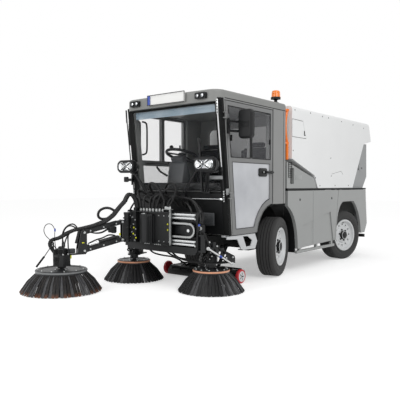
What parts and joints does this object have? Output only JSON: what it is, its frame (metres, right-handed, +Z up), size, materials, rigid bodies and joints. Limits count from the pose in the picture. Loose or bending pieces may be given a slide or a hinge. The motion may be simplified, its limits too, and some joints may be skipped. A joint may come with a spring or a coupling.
{
  "type": "compact street sweeper",
  "caption": "Compact four-wheel-steer street sweeper with a glazed cab, a tipping hopper, disc brushes and a sliding carriage for its reaching front brush arm.",
  "frame": {"origin": "on the ground, at the bottom centre of the whole vehicle with its mirrors and front brush", "axes": "+X to the vehicle's left, +Y towards its rear (it drives towards -Y), +Z up"},
  "size_m": [1.9427, 5.2432, 2.152],
  "materials": {
    "frame_black": "satin black powder coat",
    "axle_steel": "rough cast",
    "rim_silver": "silver lacquer",
    "tyre_rubber": "matte rubber",
    "body_grey": "warm grey gloss paint",
    "panel_grey": "mid grey paint",
    "support_grey": "grey paint",
    "hopper_white": "white gloss paint",
    "cab_glazing": "grey tinted glass",
    "lamp_plastic": "dark gloss",
    "amber_lens": "amber translucent",
    "black_plastic": "grained black",
    "plate_white": "blank white plate",
    "seat_fabric": "dark woven seat cover",
    "chain_steel": "bright steel",
    "arm_steel": "grey paint",
    "bristle_black": "black bristles",
    "caster_red": "red polyurethane",
    "step_silver": "silver casting",
    "guard_orange": "orange coated tube"
  },
  "bodies": {
    "chassis": {"battery_pack": "black_plastic", "beacon": "amber_lens", "cab_frame": "body_grey", "cab_glass": "cab_glazing", "cab_roof": "body_grey", "cab_steps": "step_silver", "chassis_frame": "frame_black", "deck_frame": "panel_grey", "drive_chain": "chain_steel", "front_arches": "frame_black", "front_axle": "axle_steel", "front_bulkhead": "frame_black", "front_carrier": "frame_black", "guard_bow": "guard_orange", "hopper_supports": "support_grey", "lamps": "lamp_plastic", "number_plate": "plate_white", "quarter_panels": "panel_grey", "rear_axle": "axle_steel", "rear_fenders": "panel_grey", "rear_panel": "frame_black", "seats": "seat_fabric", "side_panels": "panel_grey", "steering_column": "black_plastic", "suction_nozzle": "frame_black", "wiper": "frame_black"},
    "cross_carriage": {"cross_carriage": "black_plastic"},
    "swing_post": {"swing_post": "frame_black"},
    "arm_link_lower": {"arm_link_lower": "arm_steel"},
    "arm_link_upper": {"arm_link_upper": "arm_steel"},
    "arm_head": {"arm_head": "frame_black"},
    "brush_third": {"brush_third": "bristle_black"},
    "hopper": {"hopper": "hopper_white"},
    "tailgate": {"tailgate": "hopper_white"},
    "door_left": {"door_left": "body_grey", "door_glass_left": "cab_glazing", "mirror_left": "black_plastic"},
    "brush_arm_left": {"brush_arm_left": "frame_black"},
    "brush_left": {"brush_left": "bristle_black"},
    "caster_left": {"caster_wheel_left": "caster_red"},
    "knuckle_front_left": {"knuckle_front_left": "axle_steel"},
    "wheel_front_left": {"rim_front_left": "rim_silver", "tyre_front_left": "tyre_rubber"},
    "knuckle_rear_left": {"knuckle_rear_left": "axle_steel"},
    "wheel_rear_left": {"rim_rear_left": "rim_silver", "tyre_rear_left": "tyre_rubber"},
    "door_right": {"door_right": "body_grey", "door_glass_right": "cab_glazing", "mirror_right": "black_plastic"},
    "brush_arm_right": {"brush_arm_right": "frame_black"},
    "brush_right": {"brush_right": "bristle_black"},
    "caster_right": {"caster_wheel_right": "caster_red"},
    "knuckle_front_right": {"knuckle_front_right": "axle_steel"},
    "wheel_front_right": {"rim_front_right": "rim_silver", "tyre_front_right": "tyre_rubber"},
    "knuckle_rear_right": {"knuckle_rear_right": "axle_steel"},
    "wheel_rear_right": {"rim_rear_right": "rim_silver", "tyre_rear_right": "tyre_rubber"}
  },
  "joints": [
    {"name": "steer_front_left", "type": "hinge", "parent": "chassis", "child": "knuckle_front_left", "pos_m": [0.5914, -0.1264, 0.343], "axis": [0, 0, 1], "range_deg": [-42, 14]},
    {"name": "wheel_front_left_spin", "type": "hinge", "parent": "knuckle_front_left", "child": "wheel_front_left", "pos_m": [0.5914, -0.1264, 0.343], "axis": [0.9703, 0.2419, 0], "continuous": true},
    {"name": "steer_front_right", "type": "hinge", "parent": "chassis", "child": "knuckle_front_right", "pos_m": [-0.3886, -0.1264, 0.343], "axis": [0, 0, 1], "range_deg": [-42, 14]},
    {"name": "wheel_front_right_spin", "type": "hinge", "parent": "knuckle_front_right", "child": "wheel_front_right", "pos_m": [-0.3886, -0.1264, 0.343], "axis": [0.9703, 0.2419, 0], "continuous": true},
    {"name": "steer_rear_left", "type": "hinge", "parent": "chassis", "child": "knuckle_rear_left", "pos_m": [0.5914, 1.75161, 0.343], "axis": [0, 0, 1], "range_deg": [-14, 42]},
    {"name": "wheel_rear_left_spin", "type": "hinge", "parent": "knuckle_rear_left", "child": "wheel_rear_left", "pos_m": [0.5914, 1.75161, 0.343], "axis": [0.9703, -0.2419, 0], "continuous": true},
    {"name": "steer_rear_right", "type": "hinge", "parent": "chassis", "child": "knuckle_rear_right", "pos_m": [-0.3886, 1.75161, 0.343], "axis": [0, 0, 1], "range_deg": [-14, 42]},
    {"name": "wheel_rear_right_spin", "type": "hinge", "parent": "knuckle_rear_right", "child": "wheel_rear_right", "pos_m": [-0.3886, 1.75161, 0.343], "axis": [0.9703, -0.2419, 0], "continuous": true},
    {"name": "door_left_hinge", "type": "hinge", "parent": "chassis", "child": "door_left", "pos_m": [0.7684, -1.15802, 0.9], "axis": [0, 0.111, -0.9938], "range_deg": [0, 70]},
    {"name": "brush_arm_left_swing", "type": "hinge", "parent": "chassis", "child": "brush_arm_left", "pos_m": [0.6264, -1.4324, 0.5], "axis": [0, 0, 1], "range_deg": [-20, 20]},
    {"name": "brush_left_spin", "type": "hinge", "parent": "brush_arm_left", "child": "brush_left", "pos_m": [0.6114, -1.27439, 0.205], "axis": [0, 0, 1], "continuous": true},
    {"name": "caster_left_spin", "type": "hinge", "parent": "chassis", "child": "caster_left", "pos_m": [0.6234, -0.77439, 0.076], "axis": [1, 0, 0], "continuous": true},
    {"name": "door_right_hinge", "type": "hinge", "parent": "chassis", "child": "door_right", "pos_m": [-0.5656, -1.15802, 0.9], "axis": [0, -0.111, 0.9938], "range_deg": [0, 70]},
    {"name": "brush_arm_right_swing", "type": "hinge", "parent": "chassis", "child": "brush_arm_right", "pos_m": [-0.4236, -1.4324, 0.5], "axis": [0, 0, 1], "range_deg": [-20, 20]},
    {"name": "brush_right_spin", "type": "hinge", "parent": "brush_arm_right", "child": "brush_right", "pos_m": [-0.4896, -1.27639, 0.205], "axis": [0, 0, 1], "continuous": true},
    {"name": "caster_right_spin", "type": "hinge", "parent": "chassis", "child": "caster_right", "pos_m": [-0.4206, -0.77439, 0.076], "axis": [1, 0, 0], "continuous": true},
    {"name": "hopper_tip", "type": "hinge", "parent": "chassis", "child": "hopper", "pos_m": [0.1014, 2.2776, 1.331], "axis": [-1, 0, 0], "range_deg": [0, 45]},
    {"name": "tailgate_hinge", "type": "hinge", "parent": "hopper", "child": "tailgate", "pos_m": [0.1014, 2.51761, 1.672], "axis": [1, 0, 0], "range_deg": [0, 75]},
    {"name": "carriage_slide", "type": "slide", "parent": "chassis", "child": "cross_carriage", "axis": [1, 0, 0], "range_m": [0, 0.3]},
    {"name": "boom_swing", "type": "hinge", "parent": "cross_carriage", "child": "swing_post", "pos_m": [-0.3306, -1.5394, 0.6], "axis": [0, 0, 1], "range_deg": [-31, 44]},
    {"name": "arm_lift", "type": "hinge", "parent": "swing_post", "child": "arm_link_lower", "pos_m": [-0.35078, -1.59802, 0.48], "axis": [-0.9455, 0.3256, 0], "range_deg": [0, 40]},
    {"name": "arm_upper_pivot", "type": "hinge", "parent": "swing_post", "child": "arm_link_upper", "pos_m": [-0.35078, -1.59802, 0.667], "axis": [-0.9455, 0.3256, 0], "range_deg": [0, 40]},
    {"name": "arm_head_pivot", "type": "hinge", "parent": "arm_link_lower", "child": "arm_head", "pos_m": [-0.48752, -1.99514, 0.388], "axis": [-0.9455, 0.3256, 0], "range_deg": [-40, 0]},
    {"name": "brush_third_spin", "type": "hinge", "parent": "arm_head", "child": "brush_third", "pos_m": [-0.5624, -2.2126, 0.205], "axis": [0, 0, 1], "continuous": true}
  ],
  "couplings": [
    {"joint": "steer_front_right", "follows": "steer_front_left", "ratio": 1},
    {"joint": "steer_rear_left", "follows": "steer_front_left", "ratio": -1},
    {"joint": "steer_rear_right", "follows": "steer_front_left", "ratio": -1},
    {"joint": "arm_upper_pivot", "follows": "arm_lift", "ratio": 1},
    {"joint": "arm_head_pivot", "follows": "arm_lift", "ratio": -1}
  ]
}
